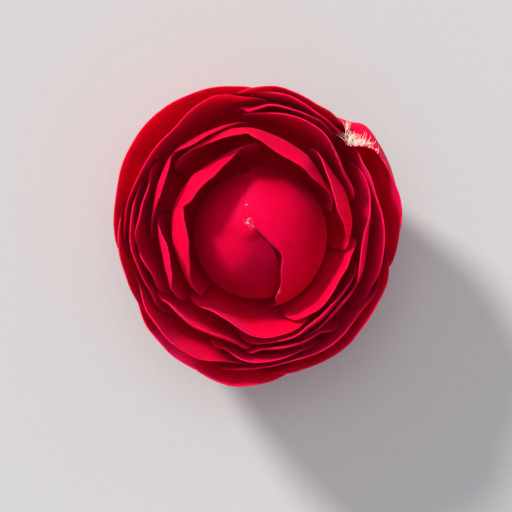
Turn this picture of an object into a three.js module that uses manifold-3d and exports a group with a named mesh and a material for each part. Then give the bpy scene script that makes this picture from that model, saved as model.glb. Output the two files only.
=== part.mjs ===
// A half-open, rose-form double camellia bloom, as picked, lying face up on its outer petals.
// Millimetres, +Z up. The bloom's axis is the Z axis and the surface it lies on is z = 0.
//
// Every petal is a thin blade on a shell round the heart of the bloom. A place on a shell is
// given by its tilt (0 straight down, 90 level with the heart, 180 straight up), its azimuth
// (counter-clockwise from +X, seen from above) and its distance from the heart. A petal leaves
// the receptacle by a narrow claw, swells out to its belly, passes level with the heart at its
// waist and ends at its rim. Where two petals share a direction from the heart, one of them is
// farther out all the way, so they never cross.

import * as THREE from 'three';
import Module from 'manifold-3d';

// ---------------------------------------------------------------- driving dimensions

const HEART_HEIGHT = 27; // height of the heart, the middle of the closed bud
const BLADE = 0.6; // thickness of a petal

const CLAW_TILT = 11; // where a petal leaves the receptacle
const BELLY_TILT = 38; // lowest part of the outer petals
const FLARE_TILT = 70; // from here up a petal bends towards its own rim
const FLARE_POWER = 1.6; // and how late in its rise it does so
const SPREAD_TILT = 72; // from here up a ring petal has its full width
const BUD_SPREAD_TILT = 92; // and a bud petal
const WAIST_TILT = 78; // from here up the waist distances hold
const CLAW_HALF_WIDTH = 26; // degrees of azimuth
const RIM_FALL = 14.5; // how much lower the two ends of a rim are than its top
const CORNER_POWER = 3; // and how suddenly they fall
const CROWN = 0.6; // how much farther out a belly is along the petal's middle line

const BUD_CLAW = 15; // distance from the heart of the outer bud petal's claw
const CLAW_PITCH = 1.12; // from one whorl's claws to the next
const LAYER_PITCH = 1.1; // from a petal to the one that lies on it
const WHORL_BELLY = [15.5, 16.9, 20.6, 22.9, 26.2, 31.4]; // distance of each whorl's bellies

const STEM_RADIUS = 1.9;
const CUT_HEIGHT = 0.4; // the cut end of the stem, just clear of the surface
const RECEPTACLE_FOOT = 7.4; // the receptacle is a cone that points at the heart
const RECEPTACLE_TOP = 16.6;
const SEAT_GAP = 0.5; // between the claws and the receptacle

// Sepals in a ring, and three short bracts a little lower. They start at SEPAL_ROOT from the
// axis, at SEPAL_HEIGHT, and slope down along the undersides of the outer petals.
const SEPAL_ROOT = 2.6;
const SEPAL_HEIGHT = 4.9;
const SEPAL_SLOPE = 0.72;
const SEPALS = [
  { azimuth: 20, length: 8.6, width: 7.8, drop: 0 },
  { azimuth: 92, length: 8.4, width: 7.6, drop: 0 },
  { azimuth: 164, length: 8.8, width: 8.0, drop: 0 },
  { azimuth: 236, length: 8.3, width: 7.7, drop: 0 },
  { azimuth: 308, length: 8.6, width: 7.9, drop: 0 },
  { azimuth: 56, length: 6.2, width: 6.0, drop: 0.75 },
  { azimuth: 176, length: 6.0, width: 6.2, drop: 0.75 },
  { azimuth: 296, length: 6.4, width: 5.8, drop: 0.75 },
];

const PETAL_RED = 0xd00a34;
const BUD_RED = 0xc80832;
const SEPAL_GREEN = 0x6f7a3c;
const STEM_BROWN = 0x6a5a34;

// Ring petals, each one outside those before it. whorl counts from the bud outwards; claw is the
// azimuth of the claw and top the height of the rim; crown, where given, is how much farther
// the belly bulges along its middle line; rim is [azimuth, distance from the axis] and waist
// [azimuth, distance from the heart]; a notch dents the rim by depth of the petal's length.
const RING_PETALS = [
  {
    name: 'petal_1a', whorl: 1, claw: 158, top: 43.5, columns: 12, rows: 9,
    rim: [[97, 19.4], [107, 18], [128, 17], [145, 17.7], [163, 18.2], [180, 16.5], [197, 16.3],
      [212, 17], [227, 18.2]],
    waist: [[97, 19.7], [130, 20.4], [160, 20.8], [190, 19.9], [227, 18.5]],
    notch: { azimuth: 159.5, depth: 0.16, width: 5 },
  },
  {
    name: 'petal_1b', whorl: 1, claw: 84, top: 43, columns: 12, rows: 9,
    rim: [[18, 16.5], [30, 17.7], [48, 18.2], [60, 19], [80, 20.7], [94, 23.3], [105, 24.1],
      [130, 24.2], [142, 24.8]],
    waist: [[18, 17], [40, 19.7], [60, 22.1], [80, 24.1], [96, 25.3], [142, 24.8]],
    notch: { azimuth: 96, depth: 0.14, width: 4 },
  },
  {
    name: 'petal_1c', whorl: 1, claw: 372, top: 42, columns: 9, rows: 8,
    rim: [[350, 19.2], [356, 19.7], [364, 19.9], [380, 19.9], [400, 21.5], [419, 23.2]],
    waist: [[350, 20.2], [356, 21.1], [365, 22.4], [380, 23.1], [400, 22.8], [419, 23.3]],
  },
  {
    name: 'petal_1d', whorl: 1, claw: 306, top: 41.5, columns: 8, rows: 8,
    rim: [[288, 20.9], [296, 22.1], [304, 22.7], [313, 23], [326, 22.4], [338, 22.1], [350, 22.4],
      [358, 23.1]],
    waist: [[288, 19.9], [300, 19.4], [313, 19.1], [328, 19.1], [340, 20.2], [350, 21.5], [358, 22.6]],
  },
  {
    name: 'petal_1e', whorl: 1, claw: 236, top: 41, columns: 10, rows: 8,
    rim: [[222, 22.4], [232, 21.5], [241, 21.1], [250, 21.6], [259, 22.8], [268, 24.4], [277, 25],
      [287, 24.7], [297, 23.9], [306, 23.3]],
    waist: [[222, 21.1], [235, 19.7], [250, 18.7], [268, 18.7], [280, 19.7], [292, 21.1], [306, 21.6]],
  },
  {
    name: 'petal_2b', whorl: 2, claw: 188, top: 41.3, columns: 8, rows: 7,
    rim: [[168, 23.4], [180, 22.4], [190, 21.9], [205, 22.8], [213, 23.6], [222, 22.4]],
    waist: [[168, 23.1], [190, 22.8], [205, 23.1], [222, 23.3]],
  },
  {
    name: 'petal_2e', whorl: 2, claw: 316, top: 41.3, columns: 9, rows: 8,
    rim: [[259, 25], [264, 25.9], [268, 26.2], [272, 26.3], [279, 26.2], [288, 25.8], [298, 25],
      [315, 24.4], [330, 24.1], [345, 23.8]],
    waist: [[255, 23.1], [270, 23.4], [285, 23.9], [320, 23.9], [345, 23.8]],
  },
  {
    name: 'petal_2a', whorl: 2, claw: 122, top: 41.3, columns: 10, rows: 8,
    rim: [[95, 25], [101, 25.3], [109, 25.8], [120, 26.5], [133, 26.9], [143, 26.5], [155, 25.3],
      [170, 24.4], [182, 24.1]],
    waist: [[95, 26.7], [120, 27.2], [137, 27.5], [150, 26.7], [165, 25.5], [182, 24.5]],
    notch: { azimuth: 136.5, depth: 0.12, width: 4 },
  },
  {
    name: 'petal_2c', whorl: 2, claw: 48, top: 41.3, columns: 9, rows: 8,
    rim: [[20, 23.3], [33, 24.5], [45, 26.5], [55, 28.4], [65, 29.3], [74, 29.6], [82, 29.2],
      [90, 27.5], [98, 25.3]],
    waist: [[20, 24.5], [40, 25], [60, 26.5], [80, 27.5], [98, 26]],
  },
  {
    name: 'petal_3a', whorl: 3, claw: 160, top: 39.8, columns: 9, rows: 8,
    rim: [[143, 28.2], [155, 28.4], [170, 28.7], [180, 29.4], [190, 28.8], [200, 27.2], [207, 26.2],
      [214, 25.5]],
    waist: [[143, 28.9], [160, 27.6], [180, 26.9], [200, 25.8], [214, 24.5]],
    notch: { azimuth: 186, depth: 0.12, width: 4 },
  },
  {
    name: 'petal_2d', whorl: 2, claw: 248, top: 41.3, columns: 8, rows: 7,
    rim: [[209, 26.2], [220, 26.5], [230, 26.7], [240, 26.4], [250, 25.8], [259, 25.6], [268, 25.8]],
    waist: [[209, 26.2], [218, 25.6], [230, 25.3], [250, 24.7], [268, 24.3]],
  },
  {
    name: 'petal_3d', whorl: 3, claw: 358, top: 39.8, columns: 11, rows: 8,
    rim: [[283, 26.2], [300, 26.4], [310, 25.5], [320, 25.4], [333, 25.8], [345, 25.2], [360, 25.5],
      [370, 26.7], [380, 28.4], [390, 29.5], [398, 29.4]],
    waist: [[283, 25.2], [300, 25.5], [320, 26], [345, 26.2], [365, 26.2], [380, 26.5], [398, 27.7]],
    notch: { azimuth: 331, depth: 0.1, width: 4 },
  },
  {
    name: 'petal_3c', whorl: 3, claw: 300, top: 39.8, columns: 8, rows: 7,
    rim: [[262, 25.6], [269, 26.2], [276, 27.1], [284, 27.5], [300, 27.2], [312, 27.2]],
    waist: [[262, 26.5], [285, 26.6], [312, 26.5]],
  },
  {
    name: 'petal_3e', whorl: 3, claw: 78, top: 39.8, columns: 8, rows: 7,
    rim: [[50, 30.1], [60, 30.9], [70, 31.1], [78, 31.2], [85, 30.9], [92, 28.9], [100, 26]],
    waist: [[50, 27.7], [60, 28.7], [80, 29.2], [100, 27]],
  },
  {
    name: 'petal_3b', whorl: 3, claw: 246, top: 39.8, columns: 7, rows: 7,
    rim: [[246, 26.2], [252, 27.7], [258, 29.2], [264, 30.3], [270, 30.7], [280, 30.5], [290, 29.6],
      [300, 28.9]],
    waist: [[246, 26.2], [258, 27.7], [280, 28.4], [300, 28.2]],
  },
  {
    name: 'petal_4b', whorl: 4, claw: 184, top: 38, columns: 8, rows: 8,
    rim: [[148, 31.3], [155, 31.3], [165, 30.9], [175, 30.4], [195, 30], [210, 29.5], [222, 29.2]],
    waist: [[148, 29.4], [165, 28.9], [185, 28.4], [205, 27.9], [222, 27.5]],
  },
  {
    name: 'petal_4c', whorl: 4, claw: 240, top: 38, columns: 9, rows: 8,
    rim: [[193, 29.2], [200, 30.4], [210, 32.1], [222, 32.9], [235, 33.5], [244, 33.3], [252, 32.1],
      [262, 30.9], [272, 30.9]],
    waist: [[193, 29.4], [210, 29.4], [230, 29.9], [250, 29.6], [272, 30]],
  },
  {
    name: 'petal_4a', whorl: 4, claw: 126, top: 38, columns: 10, rows: 8,
    rim: [[82, 32.6], [90, 33.4], [97, 34.1], [104, 35], [111, 35.1], [118, 34.3], [127, 32.8],
      [140, 32.3], [155, 32.2], [170, 32.6], [190, 32.7]],
    waist: [[82, 31.5], [90, 31.6], [105, 31.8], [125, 30.9], [150, 30.6], [170, 31.1], [190, 31.5]],
  },
  {
    name: 'petal_4e', whorl: 4, claw: 366, top: 38, columns: 10, rows: 8,
    rim: [[322, 29.6], [335, 30.1], [345, 30.6], [360, 30.6], [375, 30], [390, 30.3], [402, 30.6],
      [410, 31.1]],
    waist: [[322, 28.3], [342, 28.2], [360, 28.2], [380, 28.4], [398, 29.2], [410, 29.6]],
  },
  {
    name: 'petal_4d', whorl: 4, claw: 300, top: 38, columns: 9, rows: 8,
    rim: [[248, 31.8], [258, 32.3], [272, 32.3], [285, 31.5], [300, 32.1], [310, 31.6], [325, 31.1],
      [342, 30.5]],
    waist: [[248, 31.3], [270, 31.2], [290, 30.1], [310, 30], [342, 29.5]],
  },
  {
    name: 'petal_4f', whorl: 4, claw: 66, top: 38, columns: 9, rows: 8,
    rim: [[42, 30.9], [50, 31.6], [60, 32.1], [70, 33.4], [78, 34.4], [88, 34.7], [95, 34.3]],
    waist: [[42, 30.9], [60, 30.9], [76, 31.3], [95, 32.4]],
  },
  {
    name: 'petal_5b', whorl: 5, claw: 196, top: 36, columns: 8, rows: 8,
    rim: [[163, 32.6], [175, 33.2], [190, 33.7], [203, 33.7], [212, 33.3], [224, 32.8]],
    waist: [[163, 32.4], [190, 32.7], [210, 32.1], [224, 31.8]],
  },
  {
    name: 'petal_5d', whorl: 5, claw: 314, top: 36, columns: 9, rows: 8,
    rim: [[270, 34.7], [280, 35.2], [290, 34.6], [305, 34.6], [320, 33.9], [340, 33.5], [354, 33.3]],
    waist: [[270, 32.8], [290, 33], [310, 32.6], [330, 32.1], [354, 31.8]],
  },
  {
    name: 'petal_5f', whorl: 5, claw: 78, top: 36, columns: 9, rows: 8,
    rim: [[46, 34], [55, 34.3], [65, 34.7], [75, 35.6], [83, 36], [92, 35.4], [104, 34.5]],
    waist: [[46, 32.9], [64, 32.7], [80, 33.5], [104, 33.8]],
  },
  {
    name: 'petal_5a', whorl: 5, claw: 138, top: 36, crown: 3.2, columns: 11, rows: 12,
    rim: [[86, 35.5], [95, 36], [105, 36.9], [115, 37.8], [127, 38.3], [140, 37.8], [150, 37.1],
      [160, 36.2], [170, 35.2], [180, 34.4], [192, 33.9]],
    waist: [[86, 35], [105, 35.1], [125, 35.7], [150, 35], [170, 34], [192, 33.9]],
  },
  {
    name: 'petal_5c', whorl: 5, claw: 252, top: 36, crown: 3.2, columns: 10, rows: 12,
    rim: [[204, 32.6], [212, 33.8], [220, 34.9], [230, 35.7], [245, 36.3], [260, 37.2], [268, 36.8],
      [276, 36.3], [286, 35.2]],
    waist: [[204, 33.2], [220, 33.5], [240, 34.3], [260, 34.7], [286, 34.5]],
  },
  {
    name: 'petal_5e', whorl: 5, claw: 380, top: 36, crown: 3.2, columns: 10, rows: 12,
    rim: [[343, 33.2], [352, 33.5], [360, 34.3], [366, 35.1], [380, 35.7], [390, 36.3], [398, 36.9],
      [405, 36.3], [412, 34.7], [424, 33.8]],
    waist: [[343, 33.2], [360, 33.4], [380, 33.8], [398, 34.5], [412, 34.3], [424, 33.8]],
  },
];

// Bud petals, outermost first. middle is the azimuth of the middle line; rim is [arc across,
// tilt of the rim] and waist [arc across, distance from the heart]; point lifts the tip.
const BUD_PETALS = [
  {
    name: 'bud_petal_a', middle: 10, clawWidth: 9, clawDistance: 15, point: -5, columns: 14, rows: 12,
    rim: [[-93, 80], [-84, 138], [-74, 163], [-66, 161], [-54, 158], [-42, 159], [-26, 157],
      [-12, 168], [4, 179], [16, 188], [35, 190], [60, 182], [80, 154], [95, 72]],
    waist: [[-93, 18.2], [-60, 17.7], [-30, 17.1], [0, 17], [95, 16.8]],
  },
  {
    name: 'bud_petal_b', middle: 212, clawWidth: 9, clawDistance: 14, point: -5, columns: 12, rows: 12,
    rim: [[-90, 84], [-82, 148], [-62, 188], [-25, 194], [20, 190], [60, 178], [78, 155], [90, 90]],
    waist: [[-90, 16], [-45, 15.9], [40, 15.9], [90, 15.6]],
  },
  {
    name: 'bud_petal_c', middle: 100, clawWidth: 9, clawDistance: 12.9, point: -5, columns: 8, rows: 8,
    rim: [[-80, 84], [-58, 150], [0, 178], [58, 150], [80, 84]],
    waist: [[-80, 14.1], [0, 14.5], [80, 14]],
  },
  {
    name: 'inner_petal_a', middle: 300, clawWidth: 9, clawDistance: 11.8, point: -5, columns: 7, rows: 7,
    rim: [[-80, 84], [-58, 150], [0, 178], [58, 150], [80, 84]],
    waist: [[-80, 13], [0, 13.2], [80, 13]],
  },
  {
    name: 'inner_petal_b', middle: 60, clawWidth: 9, clawDistance: 10.7, point: -5, columns: 7, rows: 7,
    rim: [[-80, 84], [-58, 150], [0, 178], [58, 150], [80, 84]],
    waist: [[-80, 11.9], [0, 12], [80, 11.9]],
  },
];

// ---------------------------------------------------------------- small maths

const radians = (degrees) => THREE.MathUtils.degToRad(degrees);
const mix = (a, b, t) => a + (b - a) * t;
const ramp = (from, to, value) => THREE.MathUtils.clamp((value - from) / (to - from), 0, 1);
const smooth = (from, to, value) => THREE.MathUtils.smoothstep(value, from, to);
const ease = (from, to, value) => 1 - Math.pow(1 - ramp(from, to, value), 1.4);
const lowEnd = (pairs) => pairs[0][0];
const highEnd = (pairs) => pairs[pairs.length - 1][0];

// A smooth line through [position, value] pairs, flat beyond its ends.
function along(pairs, position) {
  if (position <= lowEnd(pairs)) return pairs[0][1];
  if (position >= highEnd(pairs)) return pairs[pairs.length - 1][1];
  const k = pairs.findIndex((pair) => pair[0] > position) - 1;
  const slope = (i) => {
    const before = pairs[Math.max(i - 1, 0)];
    const after = pairs[Math.min(i + 1, pairs.length - 1)];
    return (after[1] - before[1]) / (after[0] - before[0]);
  };
  const [x0, y0] = pairs[k];
  const [x1, y1] = pairs[k + 1];
  const span = x1 - x0;
  const t = (position - x0) / span;
  const t2 = t * t;
  const t3 = t2 * t;
  return y0 * (2 * t3 - 3 * t2 + 1) + y1 * (3 * t2 - 2 * t3)
    + span * (slope(k) * (t3 - 2 * t2 + t) + slope(k + 1) * (t3 - t2));
}

function fromHeart(distance, tilt, azimuth) {
  const a = radians(tilt);
  const b = radians(azimuth);
  return new THREE.Vector3(
    distance * Math.sin(a) * Math.cos(b),
    distance * Math.sin(a) * Math.sin(b),
    HEART_HEIGHT - distance * Math.cos(a),
  );
}

// ---------------------------------------------------------------- layering

// A map holds one distance for each direction from the heart, in cells of even tilt and azimuth.
const CELL = 2;
const MAP_TILTS = Math.ceil((150 - CLAW_TILT) / CELL);
const MAP_AZIMUTHS = 360 / CELL;
const SOFTNESS = 4; // cells over which a petal rises over the edge of the one inside it

const newMap = () => new Float32Array(MAP_TILTS * MAP_AZIMUTHS);
const cellTilt = (row) => CLAW_TILT + row * CELL;
const wrap = (column) => (column + MAP_AZIMUTHS) % MAP_AZIMUTHS;

function look(map, tilt, azimuth) {
  const row = THREE.MathUtils.clamp((tilt - CLAW_TILT) / CELL, 0, MAP_TILTS - 1.001);
  const column = ((azimuth / CELL) % MAP_AZIMUTHS + MAP_AZIMUTHS) % MAP_AZIMUTHS;
  const j = Math.floor(row);
  const i = Math.floor(column);
  const value = (rows, columns) => map[rows * MAP_AZIMUTHS + wrap(columns)];
  const lower = mix(value(j, i), value(j, i + 1), column - i);
  const upper = mix(value(j + 1, i), value(j + 1, i + 1), column - i);
  return mix(lower, upper, row - j);
}

// Spread over neighbouring cells, first rows and then columns, with what combine makes of them.
function spreadMap(map, radius, combine) {
  let result = map;
  for (const alongRows of [true, false]) {
    const next = newMap();
    for (let j = 0; j < MAP_TILTS; j++) {
      for (let i = 0; i < MAP_AZIMUTHS; i++) {
        const near = [];
        for (let k = -radius; k <= radius; k++) {
          const row = alongRows ? THREE.MathUtils.clamp(j + k, 0, MAP_TILTS - 1) : j;
          near.push(result[row * MAP_AZIMUTHS + (alongRows ? i : wrap(i + k))]);
        }
        next[j * MAP_AZIMUTHS + i] = combine(near);
      }
    }
    result = next;
  }
  return result;
}

const highest = (values) => Math.max(...values);
const average = (values) => values.reduce((sum, value) => sum + value, 0) / values.length;

// ---------------------------------------------------------------- petals

// A ring petal's rim at u, which runs across the petal from -1 to 1: the distance and tilt that
// the blade bends towards, and the tilt at which its rounded outline ends it.
function rimAt(petal, u) {
  const azimuth = mix(lowEnd(petal.rim), highEnd(petal.rim), (u + 1) / 2);
  const radius = along(petal.rim, azimuth);
  const rise = petal.top - HEART_HEIGHT;
  const drop = RIM_FALL * Math.pow(Math.abs(u), CORNER_POWER);
  const tiltAt = (height) => 90 + THREE.MathUtils.radToDeg(Math.atan2(height, radius));
  return { azimuth, distance: Math.hypot(radius, rise), tilt: tiltAt(rise), end: tiltAt(rise - drop) };
}

// A ring petal's middle azimuth and half width at a tilt.
function widthAt(petal, tilt) {
  const spread = smooth(CLAW_TILT, SPREAD_TILT, tilt);
  const low = lowEnd(petal.rim);
  const high = highEnd(petal.rim);
  return {
    middle: mix(petal.claw, (low + high) / 2, spread),
    half: mix(CLAW_HALF_WIDTH, (high - low) / 2, spread),
  };
}

// A ring petal's own distance from the heart, before it is laid over those inside it.
function ownDistance(petal, u, tilt, azimuth, rim) {
  const claw = BUD_CLAW + CLAW_PITCH * petal.whorl;
  const belly = WHORL_BELLY[petal.whorl] + (petal.crown ?? CROWN) * (1 - u * u);
  const below = mix(claw, belly, ease(CLAW_TILT, BELLY_TILT, tilt));
  const shell = mix(below, along(petal.waist, azimuth), smooth(BELLY_TILT, WAIST_TILT, tilt));
  const flare = Math.pow(ramp(FLARE_TILT, rim.tilt, tilt), FLARE_POWER);
  return shell + (rim.distance - along(petal.waist, rim.azimuth)) * flare;
}

// Lay a ring petal over the map of what is inside it: its lift is how far that pushes it out.
function layPetal(petal, occupied) {
  const needed = newMap();
  const own = newMap();
  const cells = [];
  for (let j = 0; j < MAP_TILTS; j++) {
    const tilt = cellTilt(j);
    const { middle, half } = widthAt(petal, tilt);
    for (let i = 0; i < MAP_AZIMUTHS; i++) {
      const turns = Math.round((middle - i * CELL) / 360);
      const azimuth = i * CELL + 360 * turns;
      const u = (azimuth - middle) / half;
      if (Math.abs(u) > 1.04) continue;
      const rim = rimAt(petal, THREE.MathUtils.clamp(u, -1, 1));
      if (tilt > rim.end + CELL) continue;
      const cell = j * MAP_AZIMUTHS + i;
      cells.push(cell);
      own[cell] = ownDistance(petal, THREE.MathUtils.clamp(u, -1, 1), tilt, azimuth, rim);
      needed[cell] = Math.max(0, occupied[cell] + LAYER_PITCH - own[cell]);
    }
  }
  petal.lift = spreadMap(spreadMap(needed, SOFTNESS, highest), SOFTNESS, average);
  for (const cell of cells) occupied[cell] = Math.max(occupied[cell], own[cell] + petal.lift[cell]);
}

// v runs along a petal from its claw, 0, to its rim, 1.
function ringPetalPoint(petal, u, v) {
  const rim = rimAt(petal, u);
  let reach = v;
  if (petal.notch) {
    const off = (rim.azimuth - petal.notch.azimuth) / petal.notch.width;
    reach *= 1 - petal.notch.depth * Math.exp(-off * off);
  }
  const tilt = mix(CLAW_TILT, rim.end, reach);
  const { middle, half } = widthAt(petal, tilt);
  const azimuth = middle + u * half;
  const distance = ownDistance(petal, u, tilt, azimuth, rim) + look(petal.lift, tilt, azimuth);
  const point = fromHeart(distance, tilt, azimuth);
  point.z = Math.max(point.z, BLADE / 2); // the low bellies are flattened where they lie
  return point;
}

// A bud petal wraps over the top of the bloom, so its width is an arc across its middle line.
function budPetalPoint(petal, u, v) {
  const low = lowEnd(petal.rim);
  const across = mix(low, highEnd(petal.rim), (u + 1) / 2);
  const tilt = mix(CLAW_TILT, along(petal.rim, across), v);
  const width = mix(petal.clawWidth / Math.abs(low), 1, smooth(CLAW_TILT, BUD_SPREAD_TILT, tilt));
  const side = radians(across * width);
  const a = radians(tilt);
  const direction = new THREE.Vector3(Math.sin(a), 0, -Math.cos(a)).multiplyScalar(Math.cos(side));
  direction.y = Math.sin(side);
  direction.applyAxisAngle(new THREE.Vector3(0, 0, 1), radians(petal.middle));
  const rise = THREE.MathUtils.radToDeg(Math.acos(-direction.z));
  const waist = along(petal.waist, across) + petal.point * smooth(80, 180, rise);
  const distance = mix(petal.clawDistance, waist, ease(CLAW_TILT, 60, rise));
  return direction.multiplyScalar(distance).add(new THREE.Vector3(0, 0, HEART_HEIGHT));
}

// The outside of the closed bud, which the ring petals lie on.
function budMap() {
  const map = newMap();
  const outer = BUD_PETALS[0];
  for (let j = 0; j < MAP_TILTS; j++) {
    for (let i = 0; i < MAP_AZIMUTHS; i++) {
      const turn = ((i * CELL - outer.middle + 540) % 360) - 180;
      const across = Math.abs(turn) > 110 ? 0 : turn;
      const waist = along(outer.waist, across) + outer.point * smooth(80, 180, cellTilt(j));
      map[j * MAP_AZIMUTHS + i] = mix(outer.clawDistance, waist, ease(CLAW_TILT, 60, cellTilt(j)));
    }
  }
  return map;
}

// The two faces of a blade and the strip round its edge, with the same diagonals on both faces.
function bladeGeometry(pointAt, columns, rows, columnAt) {
  const across = columns + 1;
  const faceSize = across * (rows + 1);
  const positions = new Float32Array(faceSize * 6);
  const delta = 0.004;
  for (let j = 0; j <= rows; j++) {
    const v = j / rows;
    for (let i = 0; i <= columns; i++) {
      const u = columnAt(i / columns);
      const point = pointAt(u, v);
      const u0 = Math.max(u - delta, -1);
      const u1 = Math.min(u + delta, 1);
      const v0 = Math.max(v - delta, 0);
      const v1 = Math.min(v + delta, 1);
      const alongU = pointAt(u1, v).sub(pointAt(u0, v));
      const alongV = pointAt(u, v1).sub(pointAt(u, v0));
      const inward = alongV.cross(alongU).normalize().multiplyScalar(BLADE / 2);
      const index = j * across + i;
      point.clone().add(inward).toArray(positions, index * 3);
      const outer = point.sub(inward);
      outer.z = Math.max(outer.z, 0);
      outer.toArray(positions, (faceSize + index) * 3);
    }
  }
  const triangles = [];
  const quad = (a, b, c, d) => triangles.push(a, b, c, a, c, d);
  for (let j = 0; j < rows; j++) {
    for (let i = 0; i < columns; i++) {
      const a = j * across + i;
      const b = a + 1;
      const c = b + across;
      const d = a + across;
      quad(a, d, c, b);
      triangles.push(faceSize + a, faceSize + b, faceSize + c);
      triangles.push(faceSize + a, faceSize + c, faceSize + d);
    }
  }
  const edge = [];
  for (let i = 0; i < columns; i++) edge.push(i);
  for (let j = 0; j < rows; j++) edge.push(j * across + columns);
  for (let i = columns; i > 0; i--) edge.push(rows * across + i);
  for (let j = rows; j > 0; j--) edge.push(j * across);
  edge.forEach((a, k) => {
    const b = edge[(k + 1) % edge.length];
    quad(a, b, faceSize + b, faceSize + a);
  });
  const geometry = new THREE.BufferGeometry();
  geometry.setAttribute('position', new THREE.BufferAttribute(positions, 3));
  geometry.setIndex(triangles);
  return geometry;
}

const evenly = (t) => 2 * t - 1;

// Columns are even, but one of them always runs down the middle of the petal's notch.
function columnPlacer(petal) {
  if (!petal.notch) return evenly;
  const low = lowEnd(petal.rim);
  const high = highEnd(petal.rim);
  const at = (petal.notch.azimuth - low) / (high - low);
  const nearest = Math.round(at * petal.columns) / petal.columns;
  return (t) => {
    return evenly(t < nearest ? t * at / nearest : 1 - (1 - t) * (1 - at) / (1 - nearest));
  };
}

// ---------------------------------------------------------------- stem and calyx

const wasm = await Module();
wasm.setup();

function solidOf(geometry) {
  const position = geometry.getAttribute('position');
  return new wasm.Manifold(new wasm.Mesh({
    numProp: 3,
    vertProperties: new Float32Array(position.array),
    triVerts: new Uint32Array(geometry.getIndex().array),
  }));
}

function geometryOf(solid) {
  const mesh = solid.getMesh();
  const geometry = new THREE.BufferGeometry();
  geometry.setAttribute('position', new THREE.BufferAttribute(new Float32Array(mesh.vertProperties), 3));
  geometry.setIndex(Array.from(mesh.triVerts));
  return geometry;
}

// A solid turned round the Z axis from [radius, height] pairs that start and end on the axis.
function turned(profile, sides, wobble = () => 1) {
  const positions = [];
  const triangles = [];
  const rings = profile.length - 2;
  positions.push(0, 0, profile[0][1]);
  for (let j = 1; j <= rings; j++) {
    for (let i = 0; i < sides; i++) {
      const angle = (i / sides) * Math.PI * 2;
      const radius = profile[j][0] * wobble(angle, profile[j][1]);
      positions.push(radius * Math.cos(angle), radius * Math.sin(angle), profile[j][1]);
    }
  }
  positions.push(0, 0, profile[profile.length - 1][1]);
  const lastPoint = 1 + rings * sides;
  for (let i = 0; i < sides; i++) {
    const next = (i + 1) % sides;
    triangles.push(0, 1 + next, 1 + i);
    for (let j = 0; j < rings - 1; j++) {
      const a = 1 + j * sides + i;
      const b = 1 + j * sides + next;
      triangles.push(a, b, b + sides, a, b + sides, a + sides);
    }
    const top = 1 + (rings - 1) * sides;
    triangles.push(top + i, top + next, lastPoint);
  }
  const geometry = new THREE.BufferGeometry();
  geometry.setAttribute('position', new THREE.BufferAttribute(new Float32Array(positions), 3));
  geometry.setIndex(triangles);
  return geometry;
}

// The cut stem and the receptacle, beside which every claw ends.
function stemSolid() {
  const coneRadius = (height) => (HEART_HEIGHT - height) * Math.tan(radians(CLAW_TILT)) - SEAT_GAP;
  return turned([
    [0, CUT_HEIGHT],
    [STEM_RADIUS * 0.92, CUT_HEIGHT],
    [STEM_RADIUS, CUT_HEIGHT + 0.4],
    [STEM_RADIUS, 4.2],
    [STEM_RADIUS * 1.1, 5.2],
    [STEM_RADIUS * 1.3, 6.2],
    [coneRadius(RECEPTACLE_FOOT), RECEPTACLE_FOOT],
    [coneRadius(RECEPTACLE_TOP - 0.8), RECEPTACLE_TOP - 0.8],
    [coneRadius(RECEPTACLE_TOP) * 0.6, RECEPTACLE_TOP],
    [0, RECEPTACLE_TOP + 0.2],
  ], 16, (angle, height) => 1 + (height < 4 ? 0.05 * Math.sin(3 * angle + height) : 0));
}

function sepalPoint(sepal, u, v) {
  const radius = mix(SEPAL_ROOT, sepal.length, v);
  const halfWidth = (sepal.width / 2) * Math.pow(Math.sin(Math.PI * mix(0.28, 0.97, v)), 0.6);
  const bend = u * halfWidth;
  const height = SEPAL_HEIGHT - SEPAL_SLOPE * (radius - SEPAL_ROOT)
    + 0.01 * bend * bend * (v - 0.3) - sepal.drop;
  const angle = radians(sepal.azimuth);
  return new THREE.Vector3(
    radius * Math.cos(angle) - bend * Math.sin(angle),
    radius * Math.sin(angle) + bend * Math.cos(angle),
    height,
  );
}

function calyxSolid() {
  const ring = solidOf(turned([[0, 3.8], [2.9, 3.8], [3.5, 4.6], [3.3, 5.6], [0, 5.6]], 20));
  const bore = solidOf(turned([[0, 2], [2.25, 2], [2.55, 4.4], [3.4, 7.0], [0, 7.0]], 20));
  const blades = SEPALS.map((sepal) => solidOf(
    bladeGeometry((u, v) => sepalPoint(sepal, u, v), 6, 6, evenly),
  ));
  const whole = blades.reduce((sum, blade) => sum.add(blade), ring);
  return geometryOf(whole.subtract(bore));
}

// ---------------------------------------------------------------- the bloom

function material(color, roughness) {
  return new THREE.MeshStandardMaterial({ color, roughness, metalness: 0 });
}

const bloom = new THREE.Group();

function add(name, geometry, finish) {
  const mesh = new THREE.Mesh(geometry, finish);
  mesh.name = name;
  bloom.add(mesh);
}

for (const petal of BUD_PETALS) {
  const pointAt = (u, v) => budPetalPoint(petal, u, v);
  add(petal.name, bladeGeometry(pointAt, petal.columns, petal.rows, evenly), material(BUD_RED, 0.62));
}
const occupied = budMap();
for (const petal of RING_PETALS) {
  layPetal(petal, occupied);
  const pointAt = (u, v) => ringPetalPoint(petal, u, v);
  const geometry = bladeGeometry(pointAt, petal.columns, petal.rows, columnPlacer(petal));
  add(petal.name, geometry, material(PETAL_RED, 0.6));
}
add('stem', stemSolid(), material(STEM_BROWN, 0.8));
add('calyx', calyxSolid(), material(SEPAL_GREEN, 0.7));

export default bloom;
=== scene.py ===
"""The looks of a camellia bloom: fine petals, calyx and stem in the place of the plain solids.

Every petal is a thin blade with a rounded rim, soft waves and a velvety crimson skin, and keeps the
form of the solid that it replaces. A place on a petal is given by its tilt from straight down, its
azimuth (counter-clockwise from +X) and its distance from the heart of the bloom. Across a petal u
runs from -1 to 1, and from its claw to its rim v runs from 0 to 1. Lengths in the tables are
millimetres, angles degrees; the meshes are in metres.
"""
import math

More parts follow.
